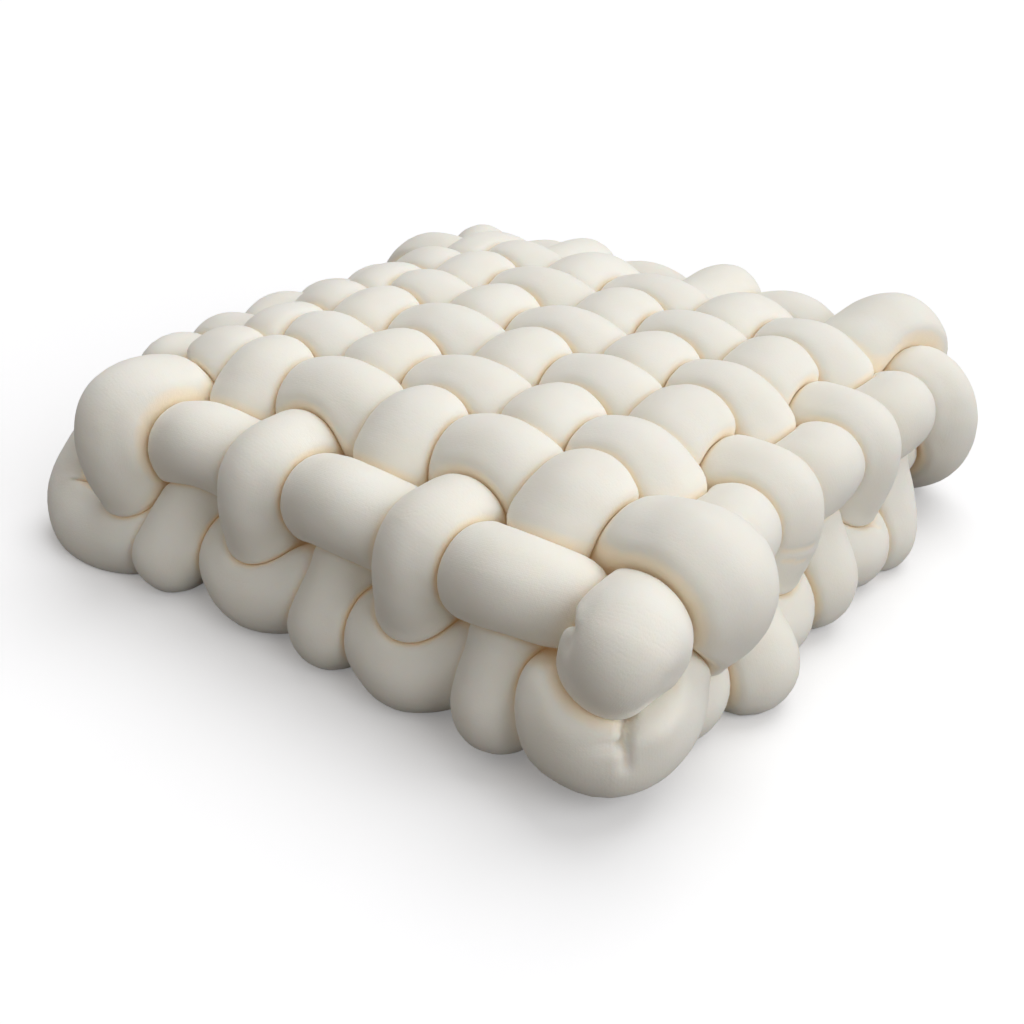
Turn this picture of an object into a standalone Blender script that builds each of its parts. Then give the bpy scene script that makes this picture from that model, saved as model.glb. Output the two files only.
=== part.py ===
"""Knot cushion: sixteen closed stuffed cloth tubes, woven over and under each other.

Eight tubes run along X and eight along Y.  Each one is a closed ring: it crosses the
top, turns down over one side, comes back across the underside and turns up over the
opposite side.  At each of its sixteen crossings it lies outside or inside the tube
that it meets, by turns, as in a plain weave.  Lengths are in pitches, the mean spacing
of neighbouring tubes, until the last step.
"""
import math
from collections import namedtuple

import bpy
import numpy as np
from mathutils.bvhtree import BVHTree

# Driving dimensions
PITCH = 0.066              # mean spacing of neighbouring tubes, in metres
ROWS = 8                   # tubes each way

# The rest is in pitches
TUBE_RADIUS = 0.588
EDGE_TUBE_RADIUS = 0.473
SWING = 0.19               # how far a tube swings out of and into the weave
EDGE_SWING = 0.257
TURN_SWING = 0.37          # the same for the fat first tube after each corner
EDGE_LEAN = math.radians(47)
CORNER_LEAN = 0.75         # share of the edge lean that each side keeps at a corner
CROWN = 0.353              # rise of the top's middle
CROWN_REACH = 4.2          # rows from the middle at which the crown ends
UNDER_SPREAD = 0.20        # how much further out the underside's edge rows lie
CORNER_PULL = (0.085, 0.058)    # pull-in of the top's and the underside's corners

# Where the rows lie, from the middle
COLUMN_X = (-3.42, -2.45, -1.79, -0.70, 0.51, 1.59, 2.60, 3.60)
ROW_Y = (-3.19, -2.24, -1.46, -0.52, 0.31, 1.28, 2.18, 3.58)
UNDER_SHIFT = -0.145       # how far the underside lies towards -X

WRAPPED_CORNERS = [(0, 0), (7, 7)]  # row and column where one tube wraps the corner whole

# Distance of the weave's middle surface from the cushion's mid-plane
#              (inner crossing, edge crossing, corner crossing)
TOP_LEVEL = (0.604, 0.439, 0.314)
UNDER_LEVEL = (0.35, 0.508, 0.466)
FLOOR_LEVEL = -1.09

# Where this weave departs from an even one: how far a tube is moved at a crossing, how far
# it swings and how fat it is there
Move = namedtuple("Move", "tube row column face move_x move_y move_z swing radius")
MOVES = [
    # the top, corner by corner
    Move("along_x", 0, 0, "top", 0.35, 0.55, 0.15, EDGE_SWING, 0.40),
    Move("along_y", 0, 1, "top", -0.37, -0.04, 0.00, TURN_SWING, 0.62),
    Move("along_x", 0, 7, "top", 0.45, 0.25, -0.25, EDGE_SWING, EDGE_TUBE_RADIUS),
    Move("along_y", 0, 7, "top", 0.36, -0.20, 0.06, EDGE_SWING, 0.55),
    Move("along_x", 1, 7, "top", 0.20, -0.04, -0.04, TURN_SWING, 0.66),
    Move("along_x", 6, 0, "top", 0.04, 0.23, -0.19, TURN_SWING, 0.65),
    Move("along_y", 7, 0, "top", -0.21, 0.02, 0.07, EDGE_SWING, EDGE_TUBE_RADIUS),
    Move("along_y", 7, 4, "top", 0.01, 0.14, 0.07, EDGE_SWING, EDGE_TUBE_RADIUS),
    Move("along_y", 7, 6, "top", 0.34, 0.08, -0.03, TURN_SWING, 0.69),
    Move("along_x", 7, 7, "top", -0.12, -0.16, 0.00, EDGE_SWING, 0.52),
    Move("along_y", 7, 7, "top", -0.30, 0.10, -0.30, EDGE_SWING, EDGE_TUBE_RADIUS),
    Move("along_x", 7, 1, "top", 0.00, 0.00, -0.12, EDGE_SWING, EDGE_TUBE_RADIUS),
    Move("along_x", 7, 3, "top", 0.00, 0.00, -0.10, EDGE_SWING, EDGE_TUBE_RADIUS),
    Move("along_y", 5, 0, "top", 0.00, 0.00, -0.10, EDGE_SWING, EDGE_TUBE_RADIUS),
    Move("along_x", 4, 0, "top", 0.00, 0.00, -0.08, EDGE_SWING, EDGE_TUBE_RADIUS),
    Move("along_y", 0, 0, "top", -0.01, 0.15, -0.12, EDGE_SWING, EDGE_TUBE_RADIUS),
    # the underside
    Move("along_x", 0, 0, "under", -0.17, 0.06, -0.02, EDGE_SWING, 0.58),
    Move("along_y", 0, 1, "under", -0.15, -0.20, 0.00, EDGE_SWING, EDGE_TUBE_RADIUS),
    Move("along_y", 0, 2, "under", -0.20, -0.12, 0.00, EDGE_SWING, EDGE_TUBE_RADIUS),
    Move("along_x", 0, 7, "under", 0.10, 0.04, 0.29, EDGE_SWING, 0.66),
    Move("along_x", 1, 7, "under", 0.00, 0.11, 0.00, EDGE_SWING, EDGE_TUBE_RADIUS),
    Move("along_x", 2, 7, "under", 0.24, 0.08, 0.00, EDGE_SWING, 0.55),
    Move("along_x", 4, 7, "under", 0.05, -0.03, 0.08, EDGE_SWING, 0.53),
    Move("along_x", 6, 0, "under", 0.00, -0.11, 0.00, EDGE_SWING, EDGE_TUBE_RADIUS),
    Move("along_x", 6, 7, "under", 0.05, -0.26, -0.08, EDGE_SWING, EDGE_TUBE_RADIUS),
    Move("along_x", 7, 0, "under", -0.11, 0.00, 0.00, EDGE_SWING, EDGE_TUBE_RADIUS),
    Move("along_y", 7, 6, "under", -0.11, 0.00, 0.00, EDGE_SWING, EDGE_TUBE_RADIUS),
    Move("along_y", 7, 7, "under", -0.10, 0.50, -0.02, EDGE_SWING, 0.47),
    Move("along_x", 0, 1, "under", -0.05, -0.05, 0.04, EDGE_SWING, EDGE_TUBE_RADIUS),
    Move("along_y", 0, 6, "under", 0.25, -0.05, 0.12, EDGE_SWING, EDGE_TUBE_RADIUS),
    Move("along_y", 2, 7, "under", -0.12, 0.05, 0.12, EDGE_SWING, EDGE_TUBE_RADIUS),
    Move("along_y", 4, 7, "under", -0.08, 0.00, 0.10, EDGE_SWING, EDGE_TUBE_RADIUS),
    Move("along_y", 6, 7, "under", -0.08, 0.00, 0.08, EDGE_SWING, EDGE_TUBE_RADIUS),
    Move("along_x", 0, 2, "under", 0.00, 0.12, 0.10, EDGE_SWING, EDGE_TUBE_RADIUS),
    # where one tube slips through the turn of another
    Move("along_y", 0, 7, "under", 0.10, 0.32, 0.05, EDGE_SWING, EDGE_TUBE_RADIUS),
    Move("along_x", 7, 7, "under", -0.07, -0.12, 0.35, EDGE_SWING, 0.54),
    Move("along_y", 7, 0, "under", -0.23, -0.46, 0.17, EDGE_SWING, EDGE_TUBE_RADIUS),
]

# Mesh
STEPS = 4                  # sections between two crossings
SIDES = 8                  # corners of a section
GUIDE_STEPS = 10           # points between two crossings of the guide for neighbours
BLEND = 8.0                # sharpness of the turn from round tube to contact face
BEND_LIMIT = 0.93          # share of a bend's own radius that the tube may take
CONTACT_GAP = 0.011
LEAST_REACH = 0.03         # no corner of a section is drawn in further than this

# In metres
CLEARANCE = 0.0003
CLEAR_STEP = 0.0004
CLEAR_PASSES = 100
CREAM = (0.86, 0.82, 0.73, 1.0)


def main():
    clear_scene()
    collection = bpy.data.collections.new("knot_cushion")
    bpy.context.scene.collection.children.link(collection)
    rings = [Ring("along_x", row) for row in range(ROWS)]
    rings += [Ring("along_y", column) for column in range(ROWS)]
    swell(rings)
    clear_contacts(rings)
    stand_on_floor(rings)
    for ring in rings:
        add_tube(ring, collection)


def clear_scene():
    for obj in list(bpy.data.objects):
        bpy.data.objects.remove(obj, do_unlink=True)


# ---- the weave ----

def lies_outside(direction, row, column, face):
    """True where the tube of this direction is the outer one of a crossing."""
    along_x_outside = (row + column) % 2 == (0 if face == "top" else 1)
    if face == "under" and (row, column) in WRAPPED_CORNERS:
        along_x_outside = True
    return along_x_outside == (direction == "along_x")


def side_of(index):
    return -1 if index == 0 else (1 if index == ROWS - 1 else 0)


def crossing(row, column, face):
    """Middle point of a crossing and the weave's outward normal there."""
    side_x, side_y = side_of(column), side_of(row)
    sides = abs(side_x) + abs(side_y)
    lean = math.tan(EDGE_LEAN) * (CORNER_LEAN if sides == 2 else 1.0)
    pull = CORNER_PULL[face == "under"] if sides == 2 else 0.0
    x = COLUMN_X[column] - side_x * pull
    y = ROW_Y[row] - side_y * pull
    if face == "top":
        from_middle = np.array([column, row]) - (ROWS - 1) / 2
        z = TOP_LEVEL[sides] + CROWN * np.prod(1 - (from_middle / CROWN_REACH) ** 2)
        normal = np.array([side_x * lean, side_y * lean, 1.0])
    else:
        x += UNDER_SHIFT + side_x * UNDER_SPREAD
        y += side_y * UNDER_SPREAD
        z = -UNDER_LEVEL[sides]
        normal = np.array([side_x * lean, side_y * lean, -1.0])
    return np.array([x, y, z]), normal / np.linalg.norm(normal), sides > 0


def tube_at_crossing(direction, row, column, face):
    """Where a tube's centre lies at a crossing, its outward normal and its radius."""
    point, normal, at_edge = crossing(row, column, face)
    swing = EDGE_SWING if at_edge else SWING
    radius = EDGE_TUBE_RADIUS if at_edge else TUBE_RADIUS
    for move in MOVES:
        if (move.tube, move.row, move.column, move.face) == (direction, row, column, face):
            point = point + (move.move_x, move.move_y, move.move_z)
            swing, radius = move.swing, move.radius
    if not lies_outside(direction, row, column, face):
        swing = -swing
    return point + swing * normal, normal, radius


class Ring:
    """One closed tube: its centre line, its section frames and its radii."""

    def __init__(self, direction, number):
        self.name = f"tube_{direction}_{number + 1}"
        path = [(step, "top") for step in range(ROWS)]
        path += [(step, "under") for step in reversed(range(ROWS))]
        knots, normals, radii = [], [], []
        for step, face in path:
            row, column = (number, step) if direction == "along_x" else (step, number)
            knot, normal, radius = tube_at_crossing(direction, row, column, face)
            knots.append(knot)
            normals.append(normal)
            radii.append([radius])
        spacing = knot_spacing(np.array(knots))
        self.centres, slopes = closed_spline(np.array(knots), spacing, STEPS)
        self.guide, _ = closed_spline(np.array(knots), spacing, GUIDE_STEPS)
        outward, _ = closed_spline(np.array(normals), spacing, STEPS)
        self.full, _ = closed_spline(np.array(radii), spacing, STEPS)
        tangents = slopes / np.linalg.norm(slopes, axis=1)[:, None]
        outward -= (outward * tangents).sum(1)[:, None] * tangents
        outward /= np.linalg.norm(outward, axis=1)[:, None]
        sideways = np.cross(tangents, outward)
        angle = (np.arange(SIDES) + 0.5) / SIDES * 2 * math.pi
        self.spokes = (np.cos(angle)[None, :, None] * outward[:, None, :]
                       + np.sin(angle)[None, :, None] * sideways[:, None, :])
        self.radii = None

    def points(self, extra=0.0):
        return self.centres[:, None, :] + (self.radii + extra)[:, :, None] * self.spokes


def knot_spacing(knots):
    """How far apart a closed curve's knots are on it, for a spline without overshoot."""
    return np.sqrt(np.linalg.norm(np.roll(knots, -1, 0) - knots, axis=1))


def closed_spline(knots, spacing, steps):
    """Values and slopes of the smooth closed curve through the knots."""
    ahead, behind = 1 / spacing, 1 / np.roll(spacing, 1)
    count = np.arange(len(knots))
    matrix = np.diag(2 * (ahead + behind))
    matrix[count, np.roll(count, -1)] = ahead
    matrix[count, np.roll(count, 1)] = behind
    rise = (np.roll(knots, -1, 0) - knots) * ahead[:, None] ** 2
    slopes = np.linalg.solve(matrix, 3 * (rise + np.roll(rise, 1, 0)))
    t = (np.arange(steps) / steps)[None, :, None]
    start, end = knots[:, None, :], np.roll(knots, -1, 0)[:, None, :]
    slope_a = (slopes * spacing[:, None])[:, None, :]
    slope_b = (np.roll(slopes, -1, 0) * spacing[:, None])[:, None, :]
    curve = ((2 * t**3 - 3 * t**2 + 1) * start + (t**3 - 2 * t**2 + t) * slope_a
             + (3 * t**2 - 2 * t**3) * end + (t**3 - t**2) * slope_b)
    slope = ((6 * t**2 - 6 * t) * (start - end) + (3 * t**2 - 4 * t + 1) * slope_a
             + (3 * t**2 - 2 * t) * slope_b)
    return curve.reshape(len(knots) * steps, -1), slope.reshape(len(knots) * steps, -1)


# ---- the stuffing: each tube swells until it meets its neighbours ----

def swell(rings):
    """Let each tube swell to its full radius, or half-way to the nearest centre line."""
    guide = np.concatenate([ring.guide for ring in rings])
    owner = np.repeat(np.arange(len(rings)), len(rings[0].guide))
    place = np.tile(np.arange(len(rings[0].guide)), len(rings))
    for number, ring in enumerate(rings):
        at = np.arange(len(ring.centres)) * GUIDE_STEPS / STEPS
        to_guide = guide[None, :, :] - ring.centres[:, None, :]
        distance = np.linalg.norm(to_guide, axis=2)
        along = np.abs(place[None, :] - at[:, None])
        along = np.minimum(along, len(ring.guide) - along)
        own = owner[None, :] == number
        distance = np.where(own & (along < 1), 1e3, distance)
        room = np.where(own, BEND_LIMIT * distance, distance - CONTACT_GAP) / 2
        cosine = np.einsum("sak,sgk->sag", ring.spokes, to_guide) / distance[:, None, :]
        reach = np.where(cosine > 0.02, room[:, None, :] / np.maximum(cosine, 0.02), 1e3)
        ring.radii = (ring.full ** -BLEND + reach.min(axis=2) ** -BLEND) ** (-1 / BLEND)


def triangles(sections, sides):
    """The faces of a closed tube, as two triangles for each patch of the grid."""
    grid = np.arange(sections * sides).reshape(sections, sides)
    ahead = np.roll(grid, -1, 0)
    a, b, c, d = grid, ahead, np.roll(ahead, -1, 1), np.roll(grid, -1, 1)
    return np.concatenate([np.stack([a, c, b], -1).reshape(-1, 3),
                           np.stack([a, d, c], -1).reshape(-1, 3)])


def clear_contacts(rings):
    """Draw the coarse faces in where they would cut into a neighbour's."""
    faces = triangles(*rings[0].radii.shape)
    face_list = faces.tolist()
    for _ in range(CLEAR_PASSES):
        trees = []
        for ring in rings:
            points = ring.points(CLEARANCE / 2 / PITCH).reshape(-1, 3)
            trees.append(BVHTree.FromPolygons(points.tolist(), face_list, all_triangles=True))
        touched = [set() for _ in rings]
        for one in range(len(rings)):
            for other in range(one + 1, len(rings)):
                for face_a, face_b in trees[one].overlap(trees[other]):
                    touched[one].update(face_list[face_a])
                    touched[other].update(face_list[face_b])
        if not any(touched):
            break
        for ring, corners in zip(rings, touched):
            if corners:
                radii = ring.radii.reshape(-1)
                drawn = radii[sorted(corners)] - CLEAR_STEP / PITCH
                radii[sorted(corners)] = np.maximum(drawn, LEAST_REACH)


def stand_on_floor(rings):
    """Scale to metres, centre the cushion over the origin and flatten what it rests on."""
    points = np.concatenate([ring.points().reshape(-1, 3) for ring in rings])
    middle = (points.min(0) + points.max(0)) / 2
    origin = np.array([middle[0], middle[1], FLOOR_LEVEL])
    for ring in rings:
        ring.placed = (ring.points() - origin) * PITCH
        ring.placed[:, :, 2] = np.maximum(ring.placed[:, :, 2], 0.0)


# ---- the objects ----

def cloth_material(name):
    material = bpy.data.materials.new(name)
    material.use_nodes = True
    shader = material.node_tree.nodes["Principled BSDF"]
    shader.inputs["Base Color"].default_value = CREAM
    shader.inputs["Roughness"].default_value = 0.9
    shader.inputs["Metallic"].default_value = 0.0
    return material


def add_tube(ring, collection):
    mesh = bpy.data.meshes.new(ring.name)
    faces = triangles(*ring.radii.shape)
    mesh.from_pydata(ring.placed.reshape(-1, 3).tolist(), [], faces.tolist())
    mesh.validate()
    mesh.shade_smooth()
    mesh.materials.append(cloth_material(ring.name + "_cloth"))
    tube = bpy.data.objects.new(ring.name, mesh)
    collection.objects.link(tube)


main()
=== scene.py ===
"""Knot cushion: the sixteen stuffed tubes at full fineness, in cream brushed jersey.

Each tube of the frame is replaced by its own smooth body.  Tubes are closed rings that
swell to their full radius, or until they meet a neighbour, so their creases fall where
cloth presses on cloth.  Lengths are in pitches, the mean spacing of neighbouring tubes,
until a tube's mesh is made.
"""
import math
from collections import namedtuple

import bpy
import numpy as np
from mathutils import Matrix, Vector, noise

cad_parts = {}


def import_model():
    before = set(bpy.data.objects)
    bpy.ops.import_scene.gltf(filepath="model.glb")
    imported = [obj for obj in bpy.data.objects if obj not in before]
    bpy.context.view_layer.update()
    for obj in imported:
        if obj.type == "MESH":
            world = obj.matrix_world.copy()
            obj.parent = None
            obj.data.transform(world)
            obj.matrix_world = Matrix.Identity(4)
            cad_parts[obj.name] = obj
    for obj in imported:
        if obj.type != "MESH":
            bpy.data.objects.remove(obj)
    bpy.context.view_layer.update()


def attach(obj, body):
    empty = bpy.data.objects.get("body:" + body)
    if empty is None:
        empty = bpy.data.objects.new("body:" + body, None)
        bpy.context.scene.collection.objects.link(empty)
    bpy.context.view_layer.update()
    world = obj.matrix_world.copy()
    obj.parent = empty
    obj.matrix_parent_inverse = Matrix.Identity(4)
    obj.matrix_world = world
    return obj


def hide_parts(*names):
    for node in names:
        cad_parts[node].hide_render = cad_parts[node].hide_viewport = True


# ---- driving dimensions ----

PITCH = 0.066              # mean spacing of neighbouring tubes, in metres
ROWS = 8                   # tubes each way

TUBE_RADIUS = 0.588        # of a tube that nothing presses on
EDGE_TUBE_RADIUS = 0.473
SWING = 0.19               # how far a tube swings out of and into the weave
EDGE_SWING = 0.257
TURN_SWING = 0.37          # the same for the fat first tube after each corner
EDGE_LEAN = math.radians(47)    # of the outward direction, at the edge rows
CORNER_LEAN = 0.75         # share of the edge lean that each side keeps at a corner
CROWN = 0.353              # rise of the top's middle
CROWN_REACH = 4.2          # rows from the middle at which the crown ends
UNDER_SPREAD = 0.20        # how much further out the underside's edge rows lie
CORNER_PULL = (0.085, 0.058)    # pull-in of the top's and the underside's corners

# Where the rows lie, from the middle
COLUMN_X = (-3.42, -2.45, -1.79, -0.70, 0.51, 1.59, 2.60, 3.60)
ROW_Y = (-3.19, -2.24, -1.46, -0.52, 0.31, 1.28, 2.18, 3.58)
UNDER_SHIFT = -0.145       # how far the underside lies towards -X

WRAPPED_CORNERS = [(0, 0), (7, 7)]  # row and column where one tube wraps the corner whole

# Distance of the weave's middle surface from the cushion's mid-plane
#              (inner crossing, edge crossing, corner crossing)
TOP_LEVEL = (0.604, 0.439, 0.314)
UNDER_LEVEL = (0.35, 0.508, 0.466)
ORIGIN = (0.066, 0.239, -1.09)     # the frame's origin, on the floor under the middle

# Where this weave departs from an even one: how far a tube is moved at a crossing, how far
# it swings and how fat it is there
Move = namedtuple("Move", "tube row column face move_x move_y move_z swing radius")
MOVES = [
    # the top
    Move("along_x", 0, 0, "top", 0.35, 0.55, 0.15, EDGE_SWING, 0.40),
    Move("along_y", 0, 1, "top", -0.37, -0.04, 0.00, TURN_SWING, 0.62),
    Move("along_x", 0, 7, "top", 0.45, 0.25, -0.25, EDGE_SWING, EDGE_TUBE_RADIUS),
    Move("along_y", 0, 7, "top", 0.36, -0.20, 0.06, EDGE_SWING, 0.55),
    Move("along_x", 1, 7, "top", 0.20, -0.04, -0.04, TURN_SWING, 0.66),
    Move("along_x", 6, 0, "top", 0.04, 0.23, -0.19, TURN_SWING, 0.65),
    Move("along_y", 7, 0, "top", -0.21, 0.02, 0.07, EDGE_SWING, EDGE_TUBE_RADIUS),
    Move("along_y", 7, 4, "top", 0.01, 0.14, 0.07, EDGE_SWING, EDGE_TUBE_RADIUS),
    Move("along_y", 7, 6, "top", 0.34, 0.08, -0.03, TURN_SWING, 0.69),
    Move("along_x", 7, 7, "top", -0.12, -0.16, 0.00, EDGE_SWING, 0.52),
    Move("along_y", 7, 7, "top", -0.30, 0.10, -0.30, EDGE_SWING, EDGE_TUBE_RADIUS),
    Move("along_x", 7, 1, "top", 0.00, 0.00, -0.12, EDGE_SWING, EDGE_TUBE_RADIUS),
    Move("along_x", 7, 3, "top", 0.00, 0.00, -0.10, EDGE_SWING, EDGE_TUBE_RADIUS),
    Move("along_y", 5, 0, "top", 0.00, 0.00, -0.10, EDGE_SWING, EDGE_TUBE_RADIUS),
    Move("along_x", 4, 0, "top", 0.00, 0.00, -0.08, EDGE_SWING, EDGE_TUBE_RADIUS),
    Move("along_y", 0, 0, "top", -0.01, 0.15, -0.12, EDGE_SWING, EDGE_TUBE_RADIUS),
    # the underside
    Move("along_x", 0, 0, "under", -0.17, 0.06, -0.02, EDGE_SWING, 0.58),
    Move("along_y", 0, 1, "under", -0.15, -0.20, 0.00, EDGE_SWING, EDGE_TUBE_RADIUS),
    Move("along_y", 0, 2, "under", -0.20, -0.12, 0.00, EDGE_SWING, EDGE_TUBE_RADIUS),
    Move("along_x", 0, 7, "under", 0.10, 0.04, 0.29, EDGE_SWING, 0.66),
    Move("along_x", 1, 7, "under", 0.00, 0.11, 0.00, EDGE_SWING, EDGE_TUBE_RADIUS),
    Move("along_x", 2, 7, "under", 0.24, 0.08, 0.00, EDGE_SWING, 0.55),
    Move("along_x", 4, 7, "under", 0.05, -0.03, 0.08, EDGE_SWING, 0.53),
    Move("along_x", 6, 0, "under", 0.00, -0.11, 0.00, EDGE_SWING, EDGE_TUBE_RADIUS),
    Move("along_x", 6, 7, "under", 0.05, -0.26, -0.08, EDGE_SWING, EDGE_TUBE_RADIUS),
    Move("along_x", 7, 0, "under", -0.11, 0.00, 0.00, EDGE_SWING, EDGE_TUBE_RADIUS),
    Move("along_y", 7, 6, "under", -0.11, 0.00, 0.00, EDGE_SWING, EDGE_TUBE_RADIUS),
    Move("along_y", 7, 7, "under", -0.10, 0.50, -0.02, EDGE_SWING, 0.47),
    Move("along_x", 0, 1, "under", -0.05, -0.05, 0.04, EDGE_SWING, EDGE_TUBE_RADIUS),
    Move("along_y", 0, 6, "under", 0.25, -0.05, 0.12, EDGE_SWING, EDGE_TUBE_RADIUS),
    Move("along_y", 2, 7, "under", -0.12, 0.05, 0.12, EDGE_SWING, EDGE_TUBE_RADIUS),
    Move("along_y", 4, 7, "under", -0.08, 0.00, 0.10, EDGE_SWING, EDGE_TUBE_RADIUS),
    Move("along_y", 6, 7, "under", -0.08, 0.00, 0.08, EDGE_SWING, EDGE_TUBE_RADIUS),
    Move("along_x", 0, 2, "under", 0.00, 0.12, 0.10, EDGE_SWING, EDGE_TUBE_RADIUS),
    # where one tube slips through the turn of another
    Move("along_y", 0, 7, "under", 0.10, 0.32, 0.05, EDGE_SWING, EDGE_TUBE_RADIUS),
    Move("along_x", 7, 7, "under", -0.07, -0.12, 0.35, EDGE_SWING, 0.54),
    Move("along_y", 7, 0, "under", -0.23, -0.46, 0.17, EDGE_SWING, EDGE_TUBE_RADIUS),
]

# ---- fineness of the bodies ----

STEPS = 20                 # sections between two crossings
TURN_STEPS = 60            # the same where a tube turns round the edge
SIDES = 72                 # corners of a section
GUIDE_STEPS = 24           # points between two crossings of the guide for neighbours
SOFTEN_PASSES = 3          # rounds of smoothing of the swollen radii

# ---- how a stuffed tube swells against its neighbours ----

BLEND = 14.0               # sharpness of the turn from round tube to contact face
BEND_LIMIT = 0.93          # share of a bend's own radius that the tube may take
OWN_STRETCH = 1 / 8        # crossings to each side where a tube can't press on itself
CONTACT_GAP = 0.004        # between two tubes that press on each other
LEAST_REACH = 0.03         # nearest to its centre line that a tube can be pressed
REACH_OF_GUIDE = 1.45      # only centre lines nearer than this can be met
LEAST_COSINE = 0.02        # a spoke that points less than this towards a tube misses it
FREE_REACH = 1000.0        # reach of a spoke that misses every tube
SHOULDER = (1.05, 0.25, 0.10)  # reach at which a pressed tube bulges, how widely, how much
FLOOR_SOFTNESS = 0.05      # height over which a bulge turns into its flat spot
CREASE_WIDTH = 0.032       # gap between two tubes at which their crease fades

# ---- creases in the cloth and lumps of the stuffing ----

# From and to where a crease runs, in crossings along the tube and in degrees round it from
# its outer side.  A crease of negative depth is a soft bulge.
Pinch = namedtuple("Pinch", "tube along_a angle_a along_b angle_b depth width")
PINCHES = [
    # the fold in the front corner's U-turn, and the bulge beside it
    Pinch("tube_along_x_1", 7.90, 84, 7.98, 60, 0.13, 0.060),
    Pinch("tube_along_x_1", 7.95, 60, 7.95, 40, 0.05, 0.055),
    Pinch("tube_along_x_1", 7.66, 72, 7.78, 62, -0.09, 0.30),
    # where the front corner's knob is drawn in, below and on its left
    Pinch("tube_along_y_8", 15.62, 57, 15.96, 62, 0.09, 0.28),
    Pinch("tube_along_y_8", 15.84, 292, 15.91, 289, 0.045, 0.14),
    Pinch("tube_along_y_8", 15.985, 286, 0.05, 284, -0.025, 0.09),
    # small wrinkles on the side to the right of it
    Pinch("tube_along_x_4", 7.33, 50, 7.33, 2, 0.014, 0.07),
    Pinch("tube_along_x_4", 7.42, 48, 7.43, 12, 0.010, 0.07),
    Pinch("tube_along_y_8", 9.96, 110, 9.80, 80, 0.030, 0.07),
    Pinch("tube_along_x_2", 6.79, 348, 6.92, 352, 0.010, 0.10),
]
PINCH_POINTS = 12          # points at which a crease's line is laid on the tube
LIP = 0.35                 # how much the cloth rises beside a crease
NARROW = 0.09              # creases narrower than this also get the painted warm fold light
PINCH_PAINTED_LIGHT = 0.7          # share of that painted light in the middle of such a crease
BULGE_FADES = 0.9          # share of a contact's painted warm light that a bulge takes away
LUMPS = ((0.45, 0.010), (0.17, 0.0035))    # size and height of the stuffing's lumps

# ---- the cloth's finish, in metres ----

BLACK = (0.0, 0.0, 0.0, 1.0)
CREAM = (0.874, 0.850, 0.772, 1.0)
CREAM_IN_SHADE = (0.864, 0.834, 0.742, 1.0)
PAINTED_FOLD_LIGHT = (0.95, 0.83, 0.65, 1.0)    # painted light: warm base colour in the creases, in place of light coming through two thicknesses of cloth and bouncing between them
PAINTED_FOLD_GLOW = (0.030, 0.019, 0.010, 1.0)     # painted glow: a faint emission in the creases, in place of the light that comes through the cloth there
CLOTH_SHINE = {"Sheen Weight": 0.22, "Sheen Roughness": 0.45, "Specular IOR Level": 0.2,
               "Subsurface Weight": 0.35, "Subsurface Radius": (1.0, 0.6, 0.4),
               "Subsurface Scale": 0.006, "Emission Strength": 1.0}
CLOTH_ROUGHNESS = (0.80, 0.95)     # where the nap lies flat, and where it stands up
STITCH = 0.0011            # width and length of a stitch of the knit
STITCH_HEIGHT = 0.00003
STITCH_EDGE = 4.0          # steepness of the groove between two columns of stitches
NAP_HEIGHT = 0.00016
NAP_BY_LAY = (0.6, 1.3)    # share of that height where it lies flat, and where it stands up
NAP_GRAIN = (0.0021, 3.0)  # size and detail of the nap's flecks
NAP_LAY = (0.01125, 2.0)   # of the patches where it lies one way
MOTTLE = (0.045, 3.0)      # of the slow change of tone
LAY_RANGE = (0.3, 0.7)     # values of those patches that count as flat and as standing up
TONE_RANGE = (0.35, 0.65)  # values of the change of tone that give the two creams
PAINTED_FOLD_LIGHT_RANGE = (0.30, 1.0)   # closeness of two tubes at which the painted fold light starts and is full

# ---- camera, fitted to the photograph ----

CAMERA_AZIMUTH = math.radians(129.22)  # of the line of sight, from +X
CAMERA_ELEVATION = math.radians(29.82)
CAMERA_LENS = 47.28        # mm
CAMERA_SENSOR = 36.0       # mm across
CAMERA_DISTANCE = 16.565   # pitches from the mid-plane's middle, along the line of sight
CAMERA_ASIDE = (-0.084, -0.882)    # pitches to the right of that line, and above it

# ---- soft studio light ----

WORLD_LIGHT = (0.37, 0.36, 0.355, 1.0)     # what falls on the cushion from all round
BACKDROP_TONE = (1.0, 1.0, 1.0, 1.0)       # what the camera sees there
FLOOR_SIZE = 40.0                          # metres
FLOOR_TONE = (0.96, 0.96, 0.96, 1.0)
FLOOR_GLOW = (0.16, 0.16, 0.16, 1.0)       # added where the camera sees the floor
FLOOR_BOUNCE = (0.22, 0.20, 0.18, 1.0)     # what the floor gives back to the cushion
FLOOR_SHINE = {"Roughness": 0.9, "Specular IOR Level": 0.0, "Emission Strength": 1.0}
SOFTBOX_ANGLE = math.radians(50)
SOFTBOXES = [
    # name, azimuth and elevation it shines from, strength, colour
    ("key", 0, 30, 1.26, (0.98, 1.00, 1.04)),
    ("fill", 90, 60, 1.22, (0.99, 1.00, 1.02)),
]

TUBE_NAMES = [f"tube_along_x_{row + 1}" for row in range(ROWS)]
TUBE_NAMES += [f"tube_along_y_{column + 1}" for column in range(ROWS)]


# ---- the weave ----

def lies_outside(direction, row, column, face):
    """True where the tube of this direction is the outer one of a crossing."""
    along_x_outside = (row + column) % 2 == (0 if face == "top" else 1)
    if face == "under" and (row, column) in WRAPPED_CORNERS:
        along_x_outside = True
    return along_x_outside == (direction == "along_x")


def side_of(index):
    """-1 for the first row or column, 1 for the last and 0 for the rest."""
    return -1 if index == 0 else (1 if index == ROWS - 1 else 0)


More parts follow.
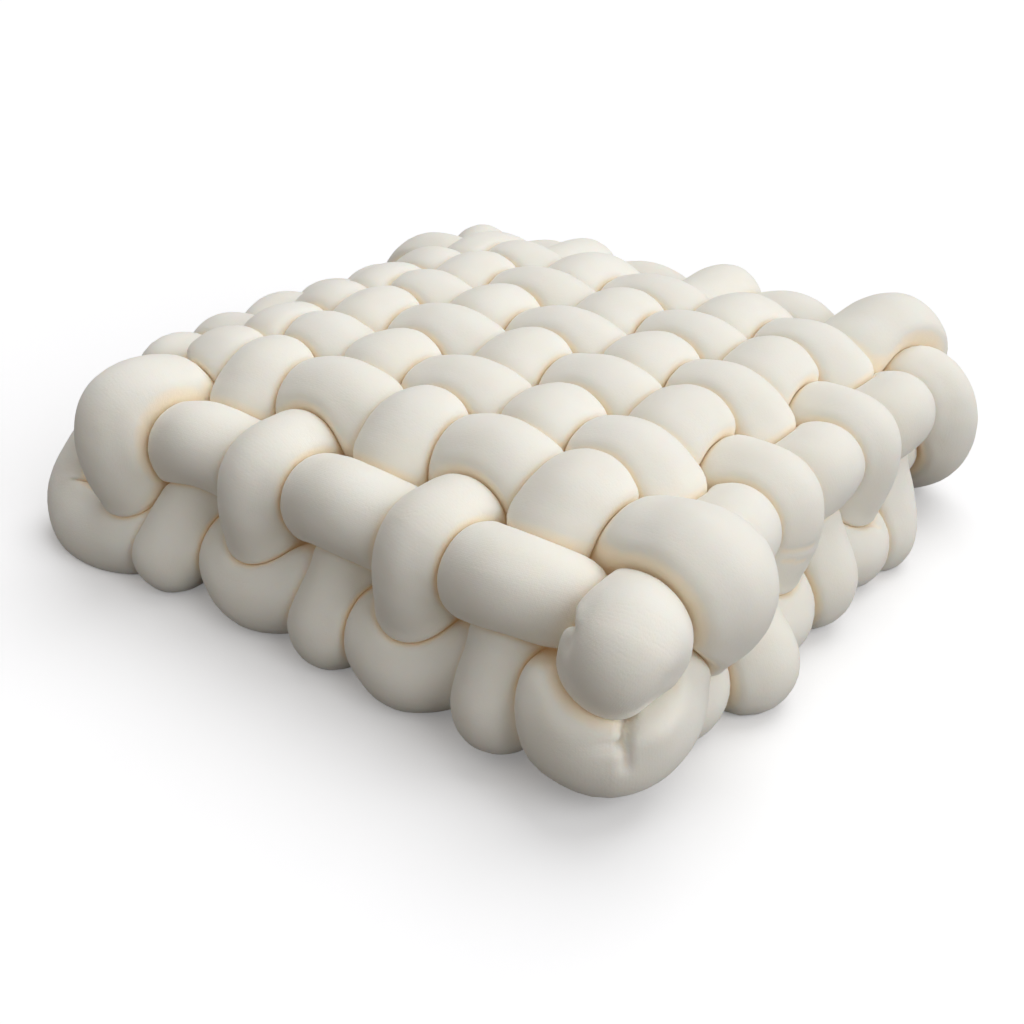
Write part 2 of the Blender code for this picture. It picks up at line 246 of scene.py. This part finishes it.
def crossing(row, column, face):
    """A crossing's middle, the weave's outward normal there, and if it is at the edge."""
    side_x, side_y = side_of(column), side_of(row)
    sides = abs(side_x) + abs(side_y)
    lean = math.tan(EDGE_LEAN) * (CORNER_LEAN if sides == 2 else 1.0)
    pull = CORNER_PULL[face == "under"] if sides == 2 else 0.0
    x = COLUMN_X[column] - side_x * pull
    y = ROW_Y[row] - side_y * pull
    if face == "top":
        from_middle = np.array([column, row]) - (ROWS - 1) / 2
        z = TOP_LEVEL[sides] + CROWN * np.prod(1 - (from_middle / CROWN_REACH) ** 2)
        normal = np.array([side_x * lean, side_y * lean, 1.0])
    else:
        x += UNDER_SHIFT + side_x * UNDER_SPREAD
        y += side_y * UNDER_SPREAD
        z = -UNDER_LEVEL[sides]
        normal = np.array([side_x * lean, side_y * lean, -1.0])
    return np.array([x, y, z]), normal / np.linalg.norm(normal), sides > 0


def tube_at_crossing(direction, row, column, face):
    """Where a tube's centre lies at a crossing, its outward normal and its radius."""
    point, normal, at_edge = crossing(row, column, face)
    swing = EDGE_SWING if at_edge else SWING
    radius = EDGE_TUBE_RADIUS if at_edge else TUBE_RADIUS
    for move in MOVES:
        if (move.tube, move.row, move.column, move.face) == (direction, row, column, face):
            point = point + (move.move_x, move.move_y, move.move_z)
            swing, radius = move.swing, move.radius
    if not lies_outside(direction, row, column, face):
        swing = -swing
    return point + swing * normal, normal, radius


def tube_at_all_crossings(name):
    """A tube's centres, outward normals and radii, over the top and back underneath."""
    direction, number = name[len("tube_"):-2], int(name[-1]) - 1
    path = [(step, "top") for step in range(ROWS)]
    path += [(step, "under") for step in reversed(range(ROWS))]
    knots, normals, radii = [], [], []
    for step, face in path:
        row, column = (number, step) if direction == "along_x" else (step, number)
        knot, normal, radius = tube_at_crossing(direction, row, column, face)
        knots.append(knot)
        normals.append(normal)
        radii.append([radius])
    return np.array(knots), np.array(normals), np.array(radii)


class Ring:
    """One closed tube: its centre line, its section frames, and its radii once swollen."""

    def __init__(self, name):
        self.name = name
        knots, normals, radii = tube_at_all_crossings(name)
        spacing = knot_spacing(knots)
        steps = [TURN_STEPS if knot % ROWS == ROWS - 1 else STEPS for knot in range(len(knots))]
        self.along = np.concatenate([knot + np.arange(count) / count
                                     for knot, count in enumerate(steps)])
        even = np.arange(len(knots) * GUIDE_STEPS) / GUIDE_STEPS
        self.centres, slopes = closed_spline(knots, spacing, self.along)
        self.guide, _ = closed_spline(knots, spacing, even)
        outward, _ = closed_spline(normals, spacing, self.along)
        self.full, _ = closed_spline(radii, spacing, self.along)
        tangents = slopes / np.linalg.norm(slopes, axis=1)[:, None]
        outward -= (outward * tangents).sum(1)[:, None] * tangents
        outward /= np.linalg.norm(outward, axis=1)[:, None]
        sideways = np.cross(tangents, outward)
        angle = (np.arange(SIDES) + 0.5) / SIDES * 2 * math.pi
        self.spokes = (np.cos(angle)[None, :, None] * outward[:, None, :]
                       + np.sin(angle)[None, :, None] * sideways[:, None, :])
        self.radii = np.empty((len(self.centres), SIDES))
        self.crease = np.empty((len(self.centres), SIDES))

    def place(self, along, angle):
        """The grid point nearest to a place along the tube and an angle round it."""
        return np.argmin(np.abs(self.along - along)), int(angle % 360 / 360 * SIDES)

    def points(self):
        """The grid of the tube's surface, sections by sides."""
        return self.centres[:, None, :] + self.radii[:, :, None] * self.spokes


def knot_spacing(knots):
    """How far apart a closed curve's knots are on it, for a spline without overshoot."""
    return np.sqrt(np.linalg.norm(np.roll(knots, -1, 0) - knots, axis=1))


def closed_spline(knots, spacing, places):
    """Values and slopes of the smooth closed curve through the knots, at these places."""
    ahead, behind = 1 / spacing, 1 / np.roll(spacing, 1)
    count = np.arange(len(knots))
    matrix = np.diag(2 * (ahead + behind))
    matrix[count, np.roll(count, -1)] = ahead
    matrix[count, np.roll(count, 1)] = behind
    rise = (np.roll(knots, -1, 0) - knots) * ahead[:, None] ** 2
    slopes = np.linalg.solve(matrix, 3 * (rise + np.roll(rise, 1, 0)))
    first = places.astype(int)
    after = (first + 1) % len(knots)
    t = (places - first)[:, None]
    start, end = knots[first], knots[after]
    slope_a = slopes[first] * spacing[first][:, None]
    slope_b = slopes[after] * spacing[first][:, None]
    curve = ((2 * t**3 - 3 * t**2 + 1) * start + (t**3 - 2 * t**2 + t) * slope_a
             + (3 * t**2 - 2 * t**3) * end + (t**3 - t**2) * slope_b)
    slope = ((6 * t**2 - 6 * t) * (start - end) + (3 * t**2 - 4 * t + 1) * slope_a
             + (3 * t**2 - 2 * t) * slope_b)
    return curve, slope


# ---- the stuffing: each tube swells until it meets its neighbours ----

def swell(rings):
    """Let each tube swell to its full radius, or half-way to the nearest centre line.

    A tube's crease is 1 where it meets another, and falls to 0 as they part; it keeps the lumps
    off contacts and places the painted fold light.
    """
    guide = np.concatenate([ring.guide for ring in rings])
    owner = np.repeat(np.arange(len(rings)), len(rings[0].guide))
    place = np.tile(np.arange(len(rings[0].guide)), len(rings))
    for number, ring in enumerate(rings):
        for section, centre in enumerate(ring.centres):
            to_guide = guide - centre
            distance = np.linalg.norm(to_guide, axis=1)
            along = np.abs(place - ring.along[section] * GUIDE_STEPS)
            along = np.minimum(along, len(ring.guide) - along)
            own = owner == number
            beside = own & (along < GUIDE_STEPS * OWN_STRETCH)
            near = (distance < REACH_OF_GUIDE) & ~beside
            distance, own = distance[near], own[near]
            room = np.where(own, BEND_LIMIT * distance, distance - CONTACT_GAP) / 2
            cosine = ring.spokes[section] @ (to_guide[near] / distance[:, None]).T
            reach = np.where(cosine > LEAST_COSINE, room / np.maximum(cosine, LEAST_COSINE),
                             FREE_REACH)
            reach = np.maximum(reach.min(axis=1), LEAST_REACH)
            full = ring.full[section, 0]
            middle, width, height = SHOULDER
            full = full * (1 + height * np.exp(-((reach / full - middle) / width) ** 2))
            radii = (full ** -BLEND + reach ** -BLEND) ** (-1 / BLEND)
            ring.radii[section] = radii
            ring.crease[section] = np.exp((radii - reach) / CREASE_WIDTH)


def soften(field, passes):
    """Smooth a value over a tube's grid, which is closed both ways."""
    for _ in range(passes):
        for axis in (0, 1):
            field = field / 2 + (np.roll(field, 1, axis) + np.roll(field, -1, axis)) / 4
    return field


def add_lumps(ring):
    """Let the stuffing show through faintly where nothing presses on the tube."""
    points = ring.points()
    lumps = np.zeros(ring.radii.shape)
    for size, height in LUMPS:
        for index in np.ndindex(*lumps.shape):
            lumps[index] += height * noise.noise(points[index] / size)
    ring.radii += lumps * (1 - ring.crease)


def add_pinches(ring):
    """Pull short creases into a tube, each with soft lips beside it."""
    points = ring.points()
    for pinch in PINCHES:
        if pinch.tube != ring.name:
            continue
        distance = np.full(ring.radii.shape, np.inf)
        run = (pinch.along_b - pinch.along_a + ROWS) % (2 * ROWS) - ROWS
        for share in np.linspace(0, 1, PINCH_POINTS):
            along = (pinch.along_a + share * run) % (2 * ROWS)
            angle = pinch.angle_a + share * (pinch.angle_b - pinch.angle_a)
            point = points[ring.place(along, angle)]
            distance = np.minimum(distance, np.linalg.norm(points - point, axis=2))
        profile = np.exp(-(distance / pinch.width) ** 2)
        lip = 1 - LIP * (distance / pinch.width) ** 2
        ring.radii -= pinch.depth * lip * profile
        # a bulge takes away some of the painted warm fold light, and a narrow crease gets some
        if pinch.depth < 0:
            ring.crease *= 1 - BULGE_FADES * profile
        elif pinch.width < NARROW:
            ring.crease = np.maximum(ring.crease, PINCH_PAINTED_LIGHT * profile ** 2)


def rest_on_floor(points):
    """Turn the lowest bulges smoothly into flat spots at height 0."""
    z = points[..., 2]
    soft = FLOOR_SOFTNESS
    curved = (z + soft) ** 2 / (4 * soft)
    points[..., 2] = np.where(z > soft, z, np.where(z > -soft, curved, 0.0))


# ---- the bodies ----

def grid_faces(sections, sides):
    """Corner numbers of a tube's faces, on a grid that is closed both ways."""
    grid = np.arange(sections * sides).reshape(sections, sides)
    ahead = np.roll(grid, -1, 0)
    corners = [grid, np.roll(grid, -1, 1), np.roll(ahead, -1, 1), ahead]
    return np.stack(corners, -1).reshape(-1, 4)


def add_tube(ring, material):
    """Make a tube's mesh in metres, with its cloth map and creases, in place of its solid."""
    points = ring.points() - np.array(ORIGIN)
    rest_on_floor(points)
    points *= PITCH
    sections, sides = ring.radii.shape
    mesh = bpy.data.meshes.new(ring.name + "_cloth")
    mesh.from_pydata(points.reshape(-1, 3).tolist(), [], grid_faces(sections, sides).tolist())
    mesh.shade_smooth()
    add_cloth_map(mesh, points)
    # the crease field also places the painted warm light and glow of the folds
    crease = mesh.attributes.new("crease", "FLOAT", "POINT")
    crease.data.foreach_set("value", ring.crease.ravel().astype(np.float32))
    mesh.materials.append(material)
    tube = bpy.data.objects.new(ring.name + "_cloth", mesh)
    bpy.context.scene.collection.objects.link(tube)
    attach(tube, "root")
    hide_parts(ring.name)


def add_cloth_map(mesh, points):
    """UV in metres of cloth: u along the tube, v round it."""
    sections, sides = points.shape[:2]
    step = np.linalg.norm(np.roll(points, -1, 0) - points, axis=2).mean(1)
    along = np.concatenate([[0.0], np.cumsum(step)])
    round_step = np.linalg.norm(np.roll(points, -1, 1) - points, axis=2).mean()
    around = np.arange(sides + 1) * round_step
    section = np.repeat(np.arange(sections), sides)
    side = np.tile(np.arange(sides), sections)
    corners_u = np.stack([along[section], along[section], along[section + 1],
                          along[section + 1]], -1)
    corners_v = np.stack([around[side], around[side + 1], around[side + 1],
                          around[side]], -1)
    layer = mesh.uv_layers.new(name="cloth")
    layer.data.foreach_set("uv", np.stack([corners_u, corners_v], -1).ravel())


# ---- the cloth ----

def new_group(name, inputs, outputs):
    """A shader node group with named inputs and outputs, given as (name, kind) pairs."""
    group = bpy.data.node_groups.new(name, "ShaderNodeTree")
    for label, kind in inputs:
        group.interface.new_socket(label, in_out="INPUT", socket_type="NodeSocket" + kind)
    for label, kind in outputs:
        group.interface.new_socket(label, in_out="OUTPUT", socket_type="NodeSocket" + kind)
    start = group.nodes.new("NodeGroupInput")
    end = group.nodes.new("NodeGroupOutput")
    return group, start.outputs, end.inputs


def add_node(tree, kind, inputs, **settings):
    """Add a node and give its inputs, by name or number, a socket or a value."""
    node = tree.nodes.new("ShaderNode" + kind)
    for name, value in settings.items():
        setattr(node, name, value)
    for name, value in inputs.items():
        if isinstance(value, bpy.types.NodeSocket):
            tree.links.new(value, node.inputs[name])
        else:
            node.inputs[name].default_value = value
    return node


def new_material(name, settings):
    """A material and its shader, whose plain inputs are given by name."""
    material = bpy.data.materials.new(name)
    material.use_nodes = True
    shader = material.node_tree.nodes["Principled BSDF"]
    for setting, value in settings.items():
        shader.inputs[setting].default_value = value
    return material, shader


def calculate(tree, operation, *values):
    """The result of a sum on sockets or numbers."""
    return add_node(tree, "Math", dict(enumerate(values)), operation=operation).outputs[0]


def rescale(tree, value, given, wanted=(0.0, 1.0)):
    """A value of the given range, stretched to the wanted one and cut off at its ends."""
    inputs = {"Value": value, "From Min": given[0], "From Max": given[1],
              "To Min": wanted[0], "To Max": wanted[1]}
    return add_node(tree, "MapRange", inputs).outputs["Result"]


def add_noise(tree, place, size, detail):
    """Soft random patches of about this size, in metres, with finer ones on them."""
    inputs = {"Vector": place, "Scale": 1 / size, "Detail": detail}
    return add_node(tree, "TexNoise", inputs).outputs["Fac"]


def mix_colours(tree, share, colour_a, colour_b):
    """Colour A, which turns into colour B as the share goes from 0 to 1."""
    inputs = {0: share, 6: colour_a, 7: colour_b}  # the Mix node's own numbers for colours
    return add_node(tree, "Mix", inputs, data_type="RGBA").outputs[2]


def jersey_knit_group():
    """Jersey's columns of small V stitches, in metres of height along the cloth map."""
    group, given, result = new_group(
        "jersey_knit", [("Cloth", "Vector")], [("Height", "Float")])
    apart = add_node(group, "SeparateXYZ", {0: given["Cloth"]})
    along = calculate(group, "DIVIDE", apart.outputs["X"], STITCH)
    across = calculate(group, "DIVIDE", apart.outputs["Y"], STITCH)
    leg = calculate(group, "PINGPONG", across, 0.5)
    slanted = calculate(group, "ADD", along, leg)
    yarn = calculate(group, "PINGPONG", slanted, 0.5)
    column = calculate(group, "MINIMUM", calculate(group, "MULTIPLY", leg, STITCH_EDGE), 1.0)
    stitch = calculate(group, "MULTIPLY", yarn, column)
    height = calculate(group, "MULTIPLY", stitch, 2 * STITCH_HEIGHT)
    group.links.new(height, result["Height"])
    return group


def brushed_nap_group():
    """A short brushed nap: its height in metres, and slow patches of lay and tone."""
    group, given, result = new_group(
        "brushed_nap", [("Place", "Vector")],
        [("Height", "Float"), ("Lay", "Float"), ("Tone", "Float")])
    flecks = add_noise(group, given["Place"], *NAP_GRAIN)
    lay = add_noise(group, given["Place"], *NAP_LAY)
    tone = add_noise(group, given["Place"], *MOTTLE)
    lift = rescale(group, lay, LAY_RANGE, NAP_BY_LAY)
    brushed = calculate(group, "MULTIPLY", flecks, lift)
    group.links.new(calculate(group, "MULTIPLY", brushed, NAP_HEIGHT), result["Height"])
    group.links.new(lay, result["Lay"])
    group.links.new(tone, result["Tone"])
    return group


def cloth_material():
    """Cream brushed jersey, a little uneven in tone, with painted warm light and a painted glow
    where two tubes press.
    """
    material, shader = new_material("cream_jersey", CLOTH_SHINE)
    material.cycles.emission_sampling = "NONE"     # the painted fold glow is too faint to light anything
    tree = material.node_tree
    place = add_node(tree, "TexCoord", {}).outputs["Object"]
    cloth = add_node(tree, "UVMap", {}, uv_map="cloth").outputs["UV"]
    crease = add_node(tree, "Attribute", {}, attribute_name="crease").outputs["Fac"]
    nap = add_node(tree, "Group", {}, node_tree=brushed_nap_group())
    tree.links.new(place, nap.inputs["Place"])
    knit = add_node(tree, "Group", {}, node_tree=jersey_knit_group())
    tree.links.new(cloth, knit.inputs["Cloth"])
    tone = rescale(tree, nap.outputs["Tone"], TONE_RANGE)
    cream = mix_colours(tree, tone, CREAM, CREAM_IN_SHADE)
    # painted light: where two tubes press, the base colour turns warm and a faint glow is
    # added, in place of light passing through and bouncing between the cloth
    painted_fold_light_mask = rescale(tree, crease, PAINTED_FOLD_LIGHT_RANGE)
    glow = mix_colours(tree, painted_fold_light_mask, BLACK, PAINTED_FOLD_GLOW)
    roughness = rescale(tree, nap.outputs["Lay"], LAY_RANGE, CLOTH_ROUGHNESS)
    tree.links.new(glow, shader.inputs["Emission Color"])
    tree.links.new(mix_colours(tree, painted_fold_light_mask, cream, PAINTED_FOLD_LIGHT), shader.inputs["Base Color"])
    tree.links.new(roughness, shader.inputs["Roughness"])
    height = calculate(tree, "ADD", nap.outputs["Height"], knit.outputs["Height"])
    bump = add_node(tree, "Bump", {"Strength": 1.0, "Distance": 1.0, "Height": height})
    tree.links.new(bump.outputs["Normal"], shader.inputs["Normal"])
    return material


# ---- floor, light and camera ----

def add_stage():
    """A floor that looks pale but throws little light back, as a dark one would."""
    bpy.ops.mesh.primitive_plane_add(size=FLOOR_SIZE)
    floor = bpy.context.object
    floor.name = "floor"
    material, shader = new_material("pale_floor", FLOOR_SHINE)
    tree = material.node_tree
    seen = add_node(tree, "LightPath", {}).outputs["Is Camera Ray"]
    tone = mix_colours(tree, seen, FLOOR_BOUNCE, FLOOR_TONE)
    glow = mix_colours(tree, seen, BLACK, FLOOR_GLOW)
    tree.links.new(tone, shader.inputs["Base Color"])
    tree.links.new(glow, shader.inputs["Emission Color"])
    floor.data.materials.append(material)


def add_softbox(name, azimuth, elevation, strength, colour):
    """A wide soft light that shines from this azimuth and elevation, in degrees."""
    light = bpy.data.lights.new(name, "SUN")
    light.angle = SOFTBOX_ANGLE
    light.energy = strength
    light.color = colour
    lamp = bpy.data.objects.new(name, light)
    lamp.rotation_euler = (math.radians(90 - elevation), 0, math.radians(90 + azimuth))
    bpy.context.scene.collection.objects.link(lamp)


def add_lights():
    """Even light from all round, the softboxes, and the plain tones of a product photo."""
    world = bpy.data.worlds.new("studio")
    world.use_nodes = True
    tree = world.node_tree
    sky = tree.nodes["Background"]
    seen = add_node(tree, "LightPath", {}).outputs["Is Camera Ray"]
    tone = mix_colours(tree, seen, WORLD_LIGHT, BACKDROP_TONE)
    tree.links.new(tone, sky.inputs["Color"])
    sky.inputs["Strength"].default_value = 1.0
    bpy.context.scene.world = world
    bpy.context.scene.view_settings.view_transform = "Standard"
    for softbox in SOFTBOXES:
        add_softbox(*softbox)


def add_camera():
    """The camera that was fitted to the photograph together with the weave."""
    azimuth, elevation = CAMERA_AZIMUTH, CAMERA_ELEVATION
    ahead = Vector((math.cos(azimuth) * math.cos(elevation),
                    math.sin(azimuth) * math.cos(elevation), -math.sin(elevation)))
    right = ahead.cross(Vector((0, 0, 1))).normalized()
    up = right.cross(ahead)
    place = -CAMERA_DISTANCE * ahead + CAMERA_ASIDE[0] * right + CAMERA_ASIDE[1] * up
    data = bpy.data.cameras.new("camera")
    data.sensor_width = CAMERA_SENSOR
    data.lens = CAMERA_LENS
    camera = bpy.data.objects.new("camera", data)
    turn = Matrix((right, up, -ahead)).transposed()
    camera.matrix_world = Matrix.Translation((place - Vector(ORIGIN)) * PITCH) @ turn.to_4x4()
    bpy.context.scene.collection.objects.link(camera)
    bpy.context.scene.camera = camera


def main():
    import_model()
    rings = [Ring(name) for name in TUBE_NAMES]
    swell(rings)
    material = cloth_material()
    for ring in rings:
        ring.radii = soften(ring.radii, SOFTEN_PASSES)
        add_lumps(ring)
        add_pinches(ring)
        add_tube(ring, material)
    add_stage()
    add_lights()
    add_camera()


main()
